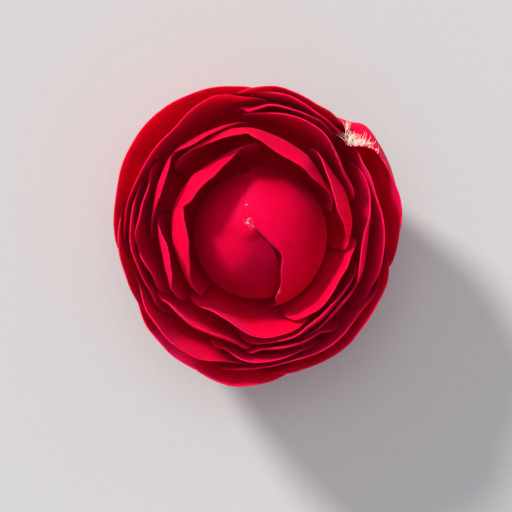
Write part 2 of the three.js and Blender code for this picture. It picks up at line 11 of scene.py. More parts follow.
import bpy
import numpy as np
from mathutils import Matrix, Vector


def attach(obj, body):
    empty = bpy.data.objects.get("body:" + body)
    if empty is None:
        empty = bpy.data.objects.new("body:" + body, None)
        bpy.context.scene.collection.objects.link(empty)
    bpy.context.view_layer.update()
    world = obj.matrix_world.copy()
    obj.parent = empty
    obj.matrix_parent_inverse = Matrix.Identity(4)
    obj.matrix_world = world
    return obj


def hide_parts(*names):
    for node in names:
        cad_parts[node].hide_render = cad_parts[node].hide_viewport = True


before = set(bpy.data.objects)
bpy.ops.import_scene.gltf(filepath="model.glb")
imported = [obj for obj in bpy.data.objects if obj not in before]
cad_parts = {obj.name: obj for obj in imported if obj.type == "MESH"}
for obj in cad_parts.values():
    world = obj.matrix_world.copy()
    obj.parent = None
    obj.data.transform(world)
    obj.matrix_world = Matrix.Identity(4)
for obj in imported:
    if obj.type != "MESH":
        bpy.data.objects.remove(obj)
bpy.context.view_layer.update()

MM = 0.001

# ---------------------------------------------------------------- the petals' forms

HEART_HEIGHT = 27.0
CLAW_TILT = 11.0  # where the petals leave the receptacle
BELLY_TILT = 38.0  # a petal swells from its claw up to here
WAIST_TILT = 78.0  # and has its waist's distance from here on
FLARE_TILT = 70.0  # from here it bends towards its rim's own distance
FLARE_POWER = 1.6
SPREAD_TILT = 72.0  # where a petal of the rings has its full width
BUD_SPREAD_TILT = 92.0  # and a bud petal
CLAW_HALF_WIDTH = 26.0  # in degrees of azimuth
RIM_FALL = 14.5  # how much lower the ends of a rim are than its middle
CORNER_POWER = 3.0
CROWN = 0.6  # how much further out a belly is in its middle than at its sides
BUD_CLAW = 15.0  # from the heart to the bud's claws
CLAW_PITCH = 1.12  # from one whorl's claws to the next whorl's
LAYER_PITCH = 1.1  # from one petal to the next one out
WHORL_BELLY = (15.5, 16.9, 20.6, 22.9, 26.2, 31.4)  # from the heart to the bellies, by whorl
BUD_BELLY_TILT = 60
BUD_POINT_TILTS = (80, 180)  # between these a bud petal gains its point on top
BUD_HALF_ARC = 110  # how far round each way the bud's outermost petal counts

# Ring petals, each one outside those before it. claw is an azimuth, top the rim's height. rim holds
# (azimuth, distance from the axis), waist (azimuth, distance from the heart), notch the (azimuth,
# depth, width) of a dip in the rim, pressed how far its two sides may lie out, crown its own CROWN,
# and fold (azimuth, how far the rim is turned in and frayed).
RING_PETALS = [
    dict(name="petal_1a", whorl=1, claw=158, top=43.5, notch=(159.5, 0.05, 3),
         rim=[(88, 20.3), (97, 19.4), (107, 18), (128, 17), (145, 17.7), (163, 18.2), (180, 16.5),
              (197, 16.3), (212, 17), (227, 18.2)],
         waist=[(88, 20.2), (97, 20), (130, 20.4), (160, 20.8), (190, 19.9), (227, 18.5)]),
    dict(name="petal_1b", whorl=1, claw=84, top=43, notch=(96, 0.045, 2.5),
         rim=[(18, 16.5), (30, 17.7), (48, 18.2), (60, 19), (80, 20.7), (94, 23.3), (105, 24.1),
              (130, 24.2), (142, 24.8)],
         waist=[(18, 17), (40, 19.7), (60, 22.1), (80, 24.1), (96, 25.3), (142, 24.8)]),
    dict(name="petal_1c", whorl=1, claw=372, top=42,
         rim=[(350, 19.2), (356, 19.7), (364, 19.9), (380, 19.9), (400, 21.5), (419, 23.2)],
         waist=[(350, 20.2), (356, 21.1), (365, 22.4), (380, 23.1), (400, 22.8), (419, 23.3)]),
    dict(name="petal_1d", whorl=1, claw=306, top=41.5,
         rim=[(288, 20.9), (296, 22.1), (304, 22.7), (313, 23), (326, 22.4), (338, 22.1), (350, 22.4),
              (358, 23.1)],
         waist=[(288, 19.9), (300, 19.4), (313, 19.1), (328, 19.1), (340, 20.2), (350, 21.5),
              (358, 22.6)]),
    dict(name="petal_1e", whorl=1, claw=236, top=41,
         rim=[(222, 22.4), (232, 21.5), (241, 21.1), (250, 21.6), (259, 22.8), (268, 24.4), (277, 25),
              (287, 24.7), (297, 23.9), (306, 23.3)],
         waist=[(222, 21.1), (235, 19.7), (250, 18.7), (268, 18.7), (280, 19.7), (292, 21.1),
              (306, 21.6)]),
    dict(name="petal_2b", whorl=2, claw=188, top=41.3,
         rim=[(168, 23.4), (180, 22.4), (190, 21.9), (205, 22.8), (213, 23.6), (222, 22.4)],
         waist=[(168, 23.1), (190, 22.8), (205, 23.1), (222, 23.3)]),
    dict(name="petal_2e", whorl=2, claw=316, top=41.3,
         rim=[(259, 25), (264, 25.9), (268, 26.2), (272, 26.3), (279, 26.2), (288, 25.8), (298, 25),
              (315, 24.4), (330, 24.1), (345, 23.8)],
         waist=[(255, 23.1), (270, 23.4), (285, 23.9), (320, 23.9), (345, 23.8)]),
    dict(name="petal_2a", whorl=2, claw=122, top=41.3, notch=(136.5, 0.12, 4),
         rim=[(95, 25), (101, 25.3), (109, 25.8), (120, 26.5), (133, 26.9), (143, 26.5), (155, 25.3),
              (170, 24.4), (182, 24.1)],
         waist=[(95, 26.7), (120, 27.2), (137, 27.5), (150, 26.7), (165, 25.5), (182, 24.5)]),
    dict(name="petal_2c", whorl=2, claw=48, top=41.3, pressed=(0.2, 2.2),
         rim=[(20, 23.3), (33, 24.5), (45, 26.5), (55, 28.4), (65, 29.3), (74, 29.6), (82, 29.2),
              (90, 27.5), (98, 25.3)],
         waist=[(20, 24.5), (40, 25), (60, 26.5), (80, 27.5), (98, 26)]),
    dict(name="petal_3a", whorl=3, claw=160, top=39.8, notch=(186, 0.12, 4),
         rim=[(143, 28.2), (155, 28.4), (170, 28.7), (180, 29.4), (190, 28.8), (200, 27.2),
              (207, 26.2), (214, 25.5)],
         waist=[(143, 28.9), (160, 27.6), (180, 26.9), (200, 25.8), (214, 24.5)]),
    dict(name="petal_2d", whorl=2, claw=248, top=41.3, pressed=(1.2, 1.2),
         rim=[(209, 26.2), (220, 26.5), (230, 26.7), (240, 26.4), (250, 25.8), (259, 25.6),
              (268, 25.8)],
         waist=[(209, 26.2), (218, 25.6), (230, 25.3), (250, 24.7), (268, 24.3)]),
    dict(name="petal_3d", whorl=3, claw=358, top=39.8, notch=(331, 0.1, 4),
         rim=[(283, 26.2), (300, 26.4), (310, 25.5), (320, 25.4), (333, 25.8), (345, 25.2),
              (360, 25.5), (370, 26.7), (380, 28.4), (390, 29.5), (398, 29.4)],
         waist=[(283, 25.2), (300, 25.5), (320, 26), (345, 26.2), (365, 26.2), (380, 26.5),
              (398, 27.7)]),
    dict(name="petal_3c", whorl=3, claw=300, top=39.8,
         rim=[(262, 25.6), (269, 26.2), (276, 27.1), (284, 27.5), (300, 27.2), (312, 27.2)],
         waist=[(262, 26.5), (285, 26.6), (312, 26.5)]),
    dict(name="petal_3e", whorl=3, claw=78, top=39.8,
         rim=[(50, 30.1), (60, 30.9), (70, 31.1), (78, 31.2), (85, 30.9), (92, 28.9), (100, 26)],
         waist=[(50, 27.7), (60, 28.7), (80, 29.2), (100, 27)]),
    dict(name="petal_3b", whorl=3, claw=246, top=39.8,
         rim=[(246, 26.2), (252, 27.7), (258, 29.2), (264, 30.3), (270, 30.7), (280, 30.5),
              (290, 29.6), (300, 28.9)],
         waist=[(246, 26.2), (258, 27.7), (280, 28.4), (300, 28.2)]),
    dict(name="petal_4b", whorl=4, claw=184, top=38,
         rim=[(148, 31.3), (155, 31.3), (165, 30.9), (175, 30.4), (195, 30), (210, 29.5), (222, 29.2)],
         waist=[(148, 29.4), (165, 28.9), (185, 28.4), (205, 27.9), (222, 27.5)]),
    dict(name="petal_4c", whorl=4, claw=240, top=38, pressed=(1, 2),
         rim=[(193, 29.2), (200, 30.4), (210, 32.1), (222, 32.9), (235, 33.5), (244, 33.3),
              (252, 32.1), (262, 30.9), (272, 30.9)],
         waist=[(193, 29.4), (210, 29.4), (230, 29.9), (250, 29.6), (272, 30)]),
    dict(name="petal_4a", whorl=4, claw=126, top=38,
         rim=[(82, 32.6), (90, 33.4), (97, 34.1), (104, 35), (111, 35.1), (118, 34.3), (127, 32.8),
              (140, 32.3), (155, 32.2), (170, 32.6), (190, 32.7)],
         waist=[(82, 31.5), (90, 31.6), (105, 31.8), (125, 30.9), (150, 30.6), (170, 31.1),
              (190, 31.5)]),
    dict(name="petal_4e", whorl=4, claw=366, top=38,
         rim=[(322, 29.6), (335, 30.1), (345, 30.6), (360, 30.6), (375, 30), (390, 30.3), (402, 30.6),
              (410, 31.1)],
         waist=[(322, 28.3), (342, 28.2), (360, 28.2), (380, 28.4), (398, 29.2), (410, 29.6)]),
    dict(name="petal_4d", whorl=4, claw=300, top=38,
         rim=[(248, 31.8), (258, 32.3), (272, 32.3), (285, 31.5), (300, 32.1), (310, 31.6),
              (325, 31.1), (342, 30.5)],
         waist=[(248, 31.3), (270, 31.2), (290, 30.1), (310, 30), (342, 29.5)]),
    dict(name="petal_4f", whorl=4, claw=66, top=38,
         rim=[(42, 30.9), (50, 31.6), (60, 32.1), (70, 33.4), (78, 34.4), (88, 34.7), (95, 34.3)],
         waist=[(42, 30.9), (60, 30.9), (76, 31.3), (95, 32.4)]),
    dict(name="petal_5b", whorl=5, claw=196, top=36,
         rim=[(163, 32.6), (175, 33.2), (190, 33.7), (203, 33.7), (212, 33.3), (224, 32.8)],
         waist=[(163, 32.4), (190, 32.7), (210, 32.1), (224, 31.8)]),
    dict(name="petal_5d", whorl=5, claw=314, top=36,
         rim=[(270, 34.7), (280, 35.2), (290, 34.6), (305, 34.6), (320, 33.9), (340, 33.5),
              (354, 33.3)],
         waist=[(270, 32.8), (290, 33), (310, 32.6), (330, 32.1), (354, 31.8)]),
    dict(name="petal_5f", whorl=5, claw=78, top=36,
         rim=[(46, 34), (55, 34.3), (65, 34.7), (75, 35.6), (83, 36), (92, 35.4), (104, 34.5)],
         waist=[(46, 32.9), (64, 32.7), (80, 33.5), (104, 33.8)]),
    dict(name="petal_5a", whorl=5, claw=138, top=36, crown=3.2,
         rim=[(86, 35.5), (95, 36), (105, 36.9), (115, 37.8), (127, 38.3), (140, 37.8), (150, 37.1),
              (160, 36.2), (170, 35.2), (180, 34.4), (192, 33.9)],
         waist=[(86, 35), (105, 35.1), (125, 35.7), (150, 35), (170, 34), (192, 33.9)]),
    dict(name="petal_5c", whorl=5, claw=252, top=36, crown=3.2,
         rim=[(204, 32.6), (212, 33.8), (220, 34.9), (230, 35.7), (245, 36.3), (260, 37.2),
              (268, 36.8), (276, 36.3), (286, 35.2)],
         waist=[(204, 33.2), (220, 33.5), (240, 34.3), (260, 34.7), (286, 34.5)]),
    dict(name="petal_5e", whorl=5, claw=380, top=36, crown=3.2,
         fold=((376, 0), (385, 0.8), (393, 1.5), (397, 2.2), (400, 3.6), (404, 5.6), (407, 5.4),
               (410, 2.2), (414, 0.8), (424, 0.3)),
         rim=[(343, 33.2), (352, 33.5), (360, 34.3), (366, 35.1), (380, 35.7), (390, 36.3),
              (398, 36.9), (405, 36.3), (412, 34.7), (424, 33.8)],
         waist=[(343, 33.2), (360, 33.4), (380, 33.8), (398, 34.5), (412, 34.3), (424, 33.8)]),
]

# Bud petals, outermost first. middle is an azimuth. rim holds (arc across, tilt), where a tilt of
# more than 180 lies beyond the top, and waist (arc across, distance from the heart). point is how
# much further out it is on top, and pitch the spacing of its mesh.
BUD_PETALS = [
    dict(name="bud_petal_a", middle=10, claw_width=9, claw_distance=15, point=-5,
         rim=[(-93, 80), (-84, 138), (-74, 163), (-66, 161), (-54, 158), (-42, 159), (-26, 157),
              (-12, 168), (4, 179), (16, 188), (35, 190), (60, 182), (80, 154), (95, 72)],
         waist=[(-93, 18.2), (-60, 17.7), (-30, 17.1), (0, 17), (95, 16.8)]),
    dict(name="bud_petal_b", middle=212, claw_width=9, claw_distance=14, point=-5,
         rim=[(-90, 84), (-84, 170), (-78, 255), (-68, 258), (-58, 230), (-46, 211), (-30, 202),
              (-8, 196), (20, 190), (60, 178), (78, 155), (90, 90)],
         waist=[(-90, 16), (-45, 15.9), (40, 15.9), (90, 15.6)], pitch=0.4),
    dict(name="bud_petal_c", middle=100, claw_width=9, claw_distance=12.9, point=-5,
         rim=[(-80, 84), (-58, 150), (0, 178), (58, 150), (80, 84)],
         waist=[(-80, 14.1), (0, 14.5), (80, 14)]),
    dict(name="inner_petal_a", middle=300, claw_width=9, claw_distance=11.8, point=-5,
         rim=[(-80, 84), (-58, 150), (0, 178), (58, 150), (80, 84)],
         waist=[(-80, 13), (0, 13.2), (80, 13)]),
    dict(name="inner_petal_b", middle=60, claw_width=9, claw_distance=10.7, point=-5,
         rim=[(-80, 84), (-58, 150), (0, 178), (58, 150), (80, 84)],
         waist=[(-80, 11.9), (0, 12), (80, 11.9)]),
]

# ---------------------------------------------------------------- small maths


def mix(a, b, t):
    return a + (b - a) * t


def ramp(start, end, value):
    return np.clip((value - start) / (end - start), 0, 1)


def smooth(start, end, value):
    t = ramp(start, end, value)
    return t * t * (3 - 2 * t)


def ease(start, end, value):
    """A ramp that is steep at first and levels out."""
    return 1 - (1 - ramp(start, end, value)) ** 1.4


def along(pairs, position):
    """A smooth line through (position, value) pairs, flat beyond its ends."""
    x, y = np.array(pairs, float).T
    slopes = np.empty(len(x))
    slopes[1:-1] = (y[2:] - y[:-2]) / (x[2:] - x[:-2])
    slopes[0] = (y[1] - y[0]) / (x[1] - x[0])
    slopes[-1] = (y[-1] - y[-2]) / (x[-1] - x[-2])
    p = np.clip(position, x[0], x[-1])
    k = np.clip(np.searchsorted(x, p, side="right") - 1, 0, len(x) - 2)
    span = x[k + 1] - x[k]
    t = (p - x[k]) / span
    t2, t3 = t * t, t * t * t
    return (y[k] * (2 * t3 - 3 * t2 + 1) + y[k + 1] * (3 * t2 - 2 * t3)
            + span * (slopes[k] * (t3 - 2 * t2 + t) + slopes[k + 1] * (t3 - t2)))


def from_heart(distance, tilt, azimuth):
    """Points at a distance from the heart, in a direction given by tilt and azimuth."""
    a, b = np.radians(tilt), np.radians(azimuth)
    return np.stack([distance * np.sin(a) * np.cos(b), distance * np.sin(a) * np.sin(b),
                     HEART_HEIGHT - distance * np.cos(a)], axis=-1)


# ---------------------------------------------------------------- layering

# A map of cells, by tilt and azimuth, holds how far from the heart the petals laid so far reach.
CELL = 2
MAP_TOP = 150
MAP_TILTS = math.ceil((MAP_TOP - CLAW_TILT) / CELL)
MAP_AZIMUTHS = 360 // CELL
SOFTNESS = 4  # over how many cells a push is spread
PAST_SIDES = 1.04  # a petal claims cells up to this times its half width
CELL_TILTS = CLAW_TILT + CELL * np.arange(MAP_TILTS)[:, None]
CELL_AZIMUTHS = CELL * np.arange(MAP_AZIMUTHS)[None, :]


def look(grid, tilt, azimuth):
    """What a map holds at a place, smoothly between its cells."""
    row = np.clip((tilt - CLAW_TILT) / CELL, 0, MAP_TILTS - 1.001)
    column = (azimuth / CELL) % MAP_AZIMUTHS
    j, i = np.floor(row).astype(int), np.floor(column).astype(int)
    i %= MAP_AZIMUTHS
    after = (i + 1) % MAP_AZIMUTHS
    s, t = column - np.floor(column), row - j
    return mix(mix(grid[j, i], grid[j, after], s), mix(grid[j + 1, i], grid[j + 1, after], s), t)


def spread(grid, combine, reach=SOFTNESS):
    """Every cell becomes what combine makes of its neighbours, along the tilts and then round."""
    for axis, mode in ((0, "edge"), (1, "wrap")):
        widths = [(0, 0), (0, 0)]
        widths[axis] = (reach, reach)
        padded = np.pad(grid, widths, mode=mode)
        size = grid.shape[axis]
        grid = combine([np.take(padded, range(k, k + size), axis=axis)
                        for k in range(2 * reach + 1)], axis=0)
    return grid


def rim_at(petal, u):
    """The rim across a petal: azimuth, distance, tilt, and the tilt where the petal ends."""
    rim = petal["rim"]
    azimuth = mix(rim[0][0], rim[-1][0], (u + 1) / 2)
    radius = along(rim, azimuth)
    rise = petal["top"] - HEART_HEIGHT
    drop = RIM_FALL * np.abs(u) ** CORNER_POWER
    tilt = 90 + np.degrees(np.arctan2(rise, radius))
    end = 90 + np.degrees(np.arctan2(rise - drop, radius))
    return azimuth, np.hypot(radius, rise), tilt, end


def width_at(petal, tilt):
    """The azimuth of a petal's middle at a tilt, and half its width there in degrees."""
    spread_by = smooth(CLAW_TILT, SPREAD_TILT, tilt)
    low, high = petal["rim"][0][0], petal["rim"][-1][0]
    middle = mix(petal["claw"], (low + high) / 2, spread_by)
    return middle, mix(CLAW_HALF_WIDTH, (high - low) / 2, spread_by)


def own_distance(petal, u, tilt, azimuth, rim):
    """How far from the heart a petal lies before other petals push it."""
    rim_azimuth, rim_distance, rim_tilt, _ = rim
    claw = BUD_CLAW + CLAW_PITCH * petal["whorl"]
    belly = WHORL_BELLY[petal["whorl"]] + petal.get("crown", CROWN) * (1 - u * u)
    below = mix(claw, belly, ease(CLAW_TILT, BELLY_TILT, tilt))
    shell = mix(below, along(petal["waist"], azimuth), smooth(BELLY_TILT, WAIST_TILT, tilt))
    flare = ramp(FLARE_TILT, rim_tilt, tilt) ** FLARE_POWER
    return shell + (rim_distance - along(petal["waist"], rim_azimuth)) * flare


def cells_of(petal):
    """At each cell of the map: u, whether the petal reaches there, and its own distance."""
    middle, half = width_at(petal, CELL_TILTS)
    azimuth = CELL_AZIMUTHS + 360 * np.floor((middle - CELL_AZIMUTHS) / 360 + 0.5)
    u = (azimuth - middle) / half
    inside = np.abs(u) <= PAST_SIDES
    u = np.clip(u, -1, 1)
    rim = rim_at(petal, u)
    inside &= CELL_TILTS <= rim[3] + CELL
    return u, inside, own_distance(petal, u, CELL_TILTS, azimuth, rim)


def lay(petal, occupied):
    """Works out petal["lift"], how far what lies inside pushes it out, and adds it to the map."""
    _, inside, own = cells_of(petal)
    needed = np.where(inside, np.maximum(0, occupied + LAYER_PITCH - own), 0)
    petal["lift"] = spread(spread(needed, np.max), np.mean)
    return np.where(inside, np.maximum(occupied, own + petal["lift"]), occupied)


FINE_PITCH = 0.8  # from one petal to the next where their sides lie close
MOST_PRESSED = (0, 0.4, 0.5, 2.0, 2.0, 2.0)  # by whorl
PRESS_SOFTNESS = 2


def side_weight(u, tilt):
    """1 along a petal's two sides, 0 in its middle and at its claw."""
    return smooth(0.55, 0.95, np.abs(u)) * smooth(35, 70, tilt)


def press(petal, beyond):
    """Works out petal["press"], how far its sides can lie out against the petals behind it."""
    u, inside, own = cells_of(petal)
    room = np.where(np.isfinite(beyond), beyond - FINE_PITCH - own - petal["lift"], 0)
    low, high = petal.get("pressed", [MOST_PRESSED[petal["whorl"]]] * 2)
    most = np.where(u < 0, low, high)
    room = np.where(inside, np.clip(room, 0, most), most)
    petal["press"] = spread(spread(room, np.min, PRESS_SOFTNESS), np.mean, PRESS_SOFTNESS)
    pressed = own + petal["lift"] + petal["press"] * side_weight(u, CELL_TILTS)
    return np.where(inside, np.minimum(beyond, pressed), beyond)


def bud_map():
    """How far out the closed bud reaches."""
    outer = BUD_PETALS[0]
    turn = (CELL_AZIMUTHS - outer["middle"] + 540) % 360 - 180
    across = np.where(np.abs(turn) > BUD_HALF_ARC, 0, turn)
    waist = along(outer["waist"], across) + outer["point"] * smooth(*BUD_POINT_TILTS, CELL_TILTS)
    return mix(outer["claw_distance"], waist, ease(CLAW_TILT, BUD_BELLY_TILT, CELL_TILTS))


# ---------------------------------------------------------------- fine petals

BODY_THICKNESS = 0.46
RIM_THICKNESS = 0.26
RIM_TAPER = 5.0  # over how many millimetres from its edge a petal thins out
EDGE_BULGE = 0.42  # how far the round edge stands out, in thicknesses
PITCH = 0.68  # spacing of a petal's fine mesh
ROUGH_GRID = 25  # points each way on the grid that a petal is first measured on
NIBBLE = 0.0013  # how ragged a rim is, as a share of the petal's height
FOLD_BULGE = 0.25  # a folded rim first bulges out, by this times its fold,
FOLD_TURN = 1.35  # and then turns in by this times its fold
FOLD_RAGGED = 1.2  # and is more ragged at its very edge, by this times its fold


def unit(vectors):
    return vectors / np.maximum(np.linalg.norm(vectors, axis=-1, keepdims=True), 1e-9)


def waves(rng, u, count, slow, fast):
    """A sum of sines across a petal, about 1 at most."""
    total = np.zeros_like(u)
    for _ in range(count):
        total += np.sin(rng.uniform(slow, fast) * np.pi * u + rng.uniform(0, 2 * np.pi)) / count
    return total


def swell(tilt, azimuth):
    """Slow waves round the bloom that every petal there follows, in millimetres."""
    a, rise = np.radians(azimuth), smooth(70, 125, tilt)
    turn = np.radians(tilt) * 2
    return rise * (0.15 * np.sin(9 * a + turn + 1.0) + 0.08 * np.sin(14 * a - turn + 4.0)
                   + 0.06 * np.sin(23 * a + 2 * turn + 2.0))


def ring_point(petal, u, v):
    """The middle face of a ring petal."""
    rim = rim_at(petal, u)
    reach = v * np.ones_like(u)
    if "notch" in petal:
        azimuth, depth, width = petal["notch"]
        reach = reach * (1 - depth * np.exp(-np.abs((rim[0] - azimuth) / width) ** 1.25))
    ragged = petal["nibble"](u)
    if "fold" in petal:
        folded = along(petal["fold"], rim[0])
        ragged = ragged * (1 + FOLD_RAGGED * folded * smooth(0.95, 1, v))
    reach = reach * (1 - ragged * v ** 4)
    tilt = mix(CLAW_TILT, rim[3], reach)
    middle, half = width_at(petal, tilt)
    azimuth = middle + u * half
    distance = own_distance(petal, u, tilt, azimuth, rim) + look(petal["lift"], tilt, azimuth)
    distance = distance + look(petal["press"], tilt, azimuth) * side_weight(u, tilt)
    if "fold" in petal:
        turned_in = FOLD_BULGE * smooth(0.6, 0.9, v) - FOLD_TURN * smooth(0.91, 1.02, v)
        distance = distance + folded * turned_in
    return from_heart(distance + swell(tilt, azimuth), tilt, azimuth)


def bud_width(petal, tilt):
    """A bud petal's width at a tilt, as a share of its full width."""
    narrow = petal["claw_width"] / abs(petal["rim"][0][0])
    return mix(narrow, 1, smooth(CLAW_TILT, BUD_SPREAD_TILT, tilt))


def bud_direction(petal, across, tilt):
    """The direction from the heart of a place on a bud petal."""
    width = bud_width(petal, tilt)
    side, a, turn = np.radians(across * width), np.radians(tilt), math.radians(petal["middle"])
    x, y, z = np.sin(a) * np.cos(side), np.sin(side), -np.cos(a) * np.cos(side)
    return np.stack([x * math.cos(turn) - y * math.sin(turn),
                     x * math.sin(turn) + y * math.cos(turn), z], axis=-1)


def bud_distance(petal, across, direction):
    """How far from the heart a bud petal lies in a direction."""
    rise = np.degrees(np.arccos(np.clip(-direction[..., 2], -1, 1)))
    waist = along(petal["waist"], across) + petal["point"] * smooth(*BUD_POINT_TILTS, rise)
    return mix(petal["claw_distance"], waist, ease(CLAW_TILT, BUD_BELLY_TILT, rise))


def under(petal, direction):
    """How far inside a bud petal's edge a direction is, in degrees, and the petal's distance there."""
    turn = math.radians(petal["middle"])
    x = direction[..., 0] * math.cos(turn) + direction[..., 1] * math.sin(turn)
    y = direction[..., 1] * math.cos(turn) - direction[..., 0] * math.sin(turn)
    tilt = np.degrees(np.arctan2(x, -direction[..., 2])) % 360
    across = np.degrees(np.arcsin(np.clip(y, -1, 1))) / bud_width(petal, tilt)
    low, high = petal["rim"][0][0], petal["rim"][-1][0]
    to_side = np.minimum(across - low, high - across)
    margin = np.minimum(to_side, along(petal["rim"], across) - tilt)
    return margin, bud_distance(petal, np.clip(across, low, high), direction)


HUG = 0.44  # from the outer bud petal's middle face to the one under its left edge
FLUSH = 0.15  # and the same just outside that edge, where the two make one smooth dome
HUG_SIDE = (-0.5, 0.86)  # towards that left edge, seen from above
HUG_INWARD, HUG_OUTWARD = 25, 45  # over how many degrees from that edge the two come apart again
VALLEY_DEPTH = 1.2  # of the hollow to the left of the bud's free edge
VALLEY_TIP = (-0.2, 0.26)  # where that hollow starts, seen from above
VALLEY_SIDE = (0.936, -0.351)  # from there towards the free edge


def bud_point(petal, u, v):
    """The middle face of a bud petal."""
    low, high = petal["rim"][0][0], petal["rim"][-1][0]
    across = mix(low, high, (u + 1) / 2)
    direction = bud_direction(petal, across, mix(CLAW_TILT, along(petal["rim"], across), v))
    distance = bud_distance(petal, across, direction)
    if petal["name"] == "bud_petal_b":
        x, y, z = np.moveaxis(direction, -1, 0)
        margin, outer = under(BUD_PETALS[0], direction)
        left = smooth(-0.12, 0.16, HUG_SIDE[1] * y + HUG_SIDE[0] * x) * smooth(-0.3, 0.2, z)
        close = np.where(margin > 0, 1 - smooth(0, HUG_INWARD, margin),
                         1 - smooth(0, HUG_OUTWARD, -margin))
        offset = mix(FLUSH, HUG, smooth(-0.6, 1.4, margin))
        distance = mix(distance, np.maximum(distance, outer - offset), close * left)
        across_valley = (x - VALLEY_TIP[0]) * VALLEY_SIDE[0] + (y - VALLEY_TIP[1]) * VALLEY_SIDE[1]
        valley = smooth(-0.1, 0.8, across_valley) * smooth(-1.05, -0.7, y)
        distance = distance - VALLEY_DEPTH * valley * smooth(-0.2, 0.3, z)
    return direction * distance[..., None] + np.array([0, 0, HEART_HEIGHT])


def normals_of(grid):
    """Unit normals of a grid of points, towards the inside of the bloom."""
    along_v, along_u = np.gradient(grid, axis=0), np.gradient(grid, axis=1)
    return unit(np.cross(along_v, along_u))


def step_lengths(grid, axis):
    """From each point of a grid to the next along an axis."""
    return np.linalg.norm(np.diff(grid, axis=axis), axis=-1)


def to_edges(grid):
    """How far, in millimetres, each place on a petal is from its rim or its nearer side."""
    up = step_lengths(grid, 0)
    to_rim = np.concatenate([np.cumsum(up[::-1], axis=0)[::-1], np.zeros((1, grid.shape[1]))])
    across = np.cumsum(step_lengths(grid, 1), axis=1)
    side = np.concatenate([np.zeros((grid.shape[0], 1)), across], axis=1)
    return np.minimum(to_rim, np.minimum(side, side[:, -1:] - side))


def mesh_piece(name, mesh):
    mesh.shade_smooth()
    piece = bpy.data.objects.new(name, mesh)
    bpy.context.scene.collection.objects.link(piece)
    return piece


def blade(name, middle, thickness, coordinates):
    """A closed mesh round a grid of middle points: inner face, outer face and round edge between."""
    rows, columns = middle.shape[:2]
    normal = normals_of(middle)
    half = normal * (thickness / 2)[..., None]
    inner, outer = middle + half, middle - half
    outer[..., 2] = np.maximum(outer[..., 2], 0)
    inner[..., 2] = np.maximum(inner[..., 2], thickness)
    index = np.arange(rows * columns).reshape(rows, columns)
    ring = np.concatenate([index[0, :-1], index[:-1, -1], index[-1, :0:-1], index[:0:-1, 0]])
    flat = middle.reshape(-1, 3)
    tangent = np.roll(flat[ring], -1, axis=0) - np.roll(flat[ring], 1, axis=0)
    outward = unit(np.cross(tangent, normal.reshape(-1, 3)[ring]))
    edge = (inner.reshape(-1, 3)[ring] + outer.reshape(-1, 3)[ring]) / 2
    edge = edge + outward * (thickness.reshape(-1)[ring] * EDGE_BULGE)[:, None]
    edge[:, 2] = np.maximum(edge[:, 2], 0)
    points = np.concatenate([inner.reshape(-1, 3), outer.reshape(-1, 3), edge])
    size = rows * columns
    a, b = index[:-1, :-1].ravel(), index[:-1, 1:].ravel()
    c, d = index[1:, 1:].ravel(), index[1:, :-1].ravel()
    strip = 2 * size + np.arange(len(ring))
    after, strip_after = np.roll(ring, -1), np.roll(strip, -1)
    faces = np.concatenate([
        np.stack([a, d, c, b], axis=1),
        np.stack([a, b, c, d], axis=1) + size,
        np.stack([ring, after, strip_after, strip], axis=1),
        np.stack([strip, strip_after, after + size, ring + size], axis=1),
    ])
    mesh = bpy.data.meshes.new(name)
    mesh.from_pydata((points * MM).tolist(), [], faces.tolist())
    for map_name, values in coordinates.items():
        values = values.reshape(-1, 2)
        per_point = np.concatenate([values, values, values[ring]])
        layer = mesh.uv_layers.new(name=map_name)
        layer.data.foreach_set("uv", per_point[faces.ravel()].astype(np.float32).ravel())
    return mesh_piece(name, mesh)


def closed_mesh(name, points, faces):
    mesh = bpy.data.meshes.new(name)
    mesh.from_pydata((np.asarray(points) * MM).tolist(), [], faces)
    return mesh_piece(name, mesh)


def rings_closed(count, sides, first, last, start=0):
    """Faces round a stack of rings of points, closed by the points first and last at its ends."""
    faces = []
    for i in range(sides):
        j = (i + 1) % sides
        faces.append((first, start + j, start + i))
        for k in range(count - 1):
            a = start + k * sides
            faces.append((a + i, a + j, a + sides + j, a + sides + i))
        a = start + (count - 1) * sides
        faces.append((a + i, a + j, last))
    return faces


THREAD_SIDES = 5
THREAD_TAPER = 0.75  # how much of its radius a thread loses towards its end


def fibres_piece(name, paths, foot_radius):
    """Tapered threads along the given paths, as one piece."""
    points, faces = [], []
    for path in paths:
        path = np.asarray(path)
        heading = unit(np.gradient(path, axis=0))
        across = unit(np.cross(heading, np.array([0.3, 0.2, 0.93])))
        third = np.cross(heading, across)
        start = len(points)
        for k in range(len(path)):
            radius = foot_radius * (1 - THREAD_TAPER * (k / (len(path) - 1)) ** 1.5)
            for i in range(THREAD_SIDES):
                turn = 2 * math.pi * i / THREAD_SIDES
                sideways = math.cos(turn) * across[k] + math.sin(turn) * third[k]
                points.append(path[k] + radius * sideways)
        points.append(path[0] - heading[0] * foot_radius * 0.5)
        points.append(path[-1] + heading[-1] * foot_radius * 0.5)
        faces += rings_closed(len(path), THREAD_SIDES, len(points) - 2, len(points) - 1, start)
    return closed_mesh(name, points, faces)


def turned_piece(name, profile, sides, wobble):
    """A solid turned round the Z axis from (radius, height) pairs that start and end on the axis."""
    profile = np.array(profile, float)
    angle = 2 * np.pi * np.arange(sides) / sides
    points = []
    for radius, height in profile[1:-1]:
        r = radius * wobble(angle, height)
        ring = [r * np.cos(angle), r * np.sin(angle), np.full(sides, height)]
        points += np.stack(ring, axis=1).tolist()
    points += [[0, 0, profile[0][1]], [0, 0, profile[-1][1]]]
    faces = rings_closed(len(profile) - 2, sides, len(points) - 2, len(points) - 1)
    return closed_mesh(name, points, faces)


FIRST_SEED = 11


def grid_over(columns, rows):
    """u and v over a whole petal."""
    return np.meshgrid(np.linspace(-1, 1, columns), np.linspace(0, 1, rows))


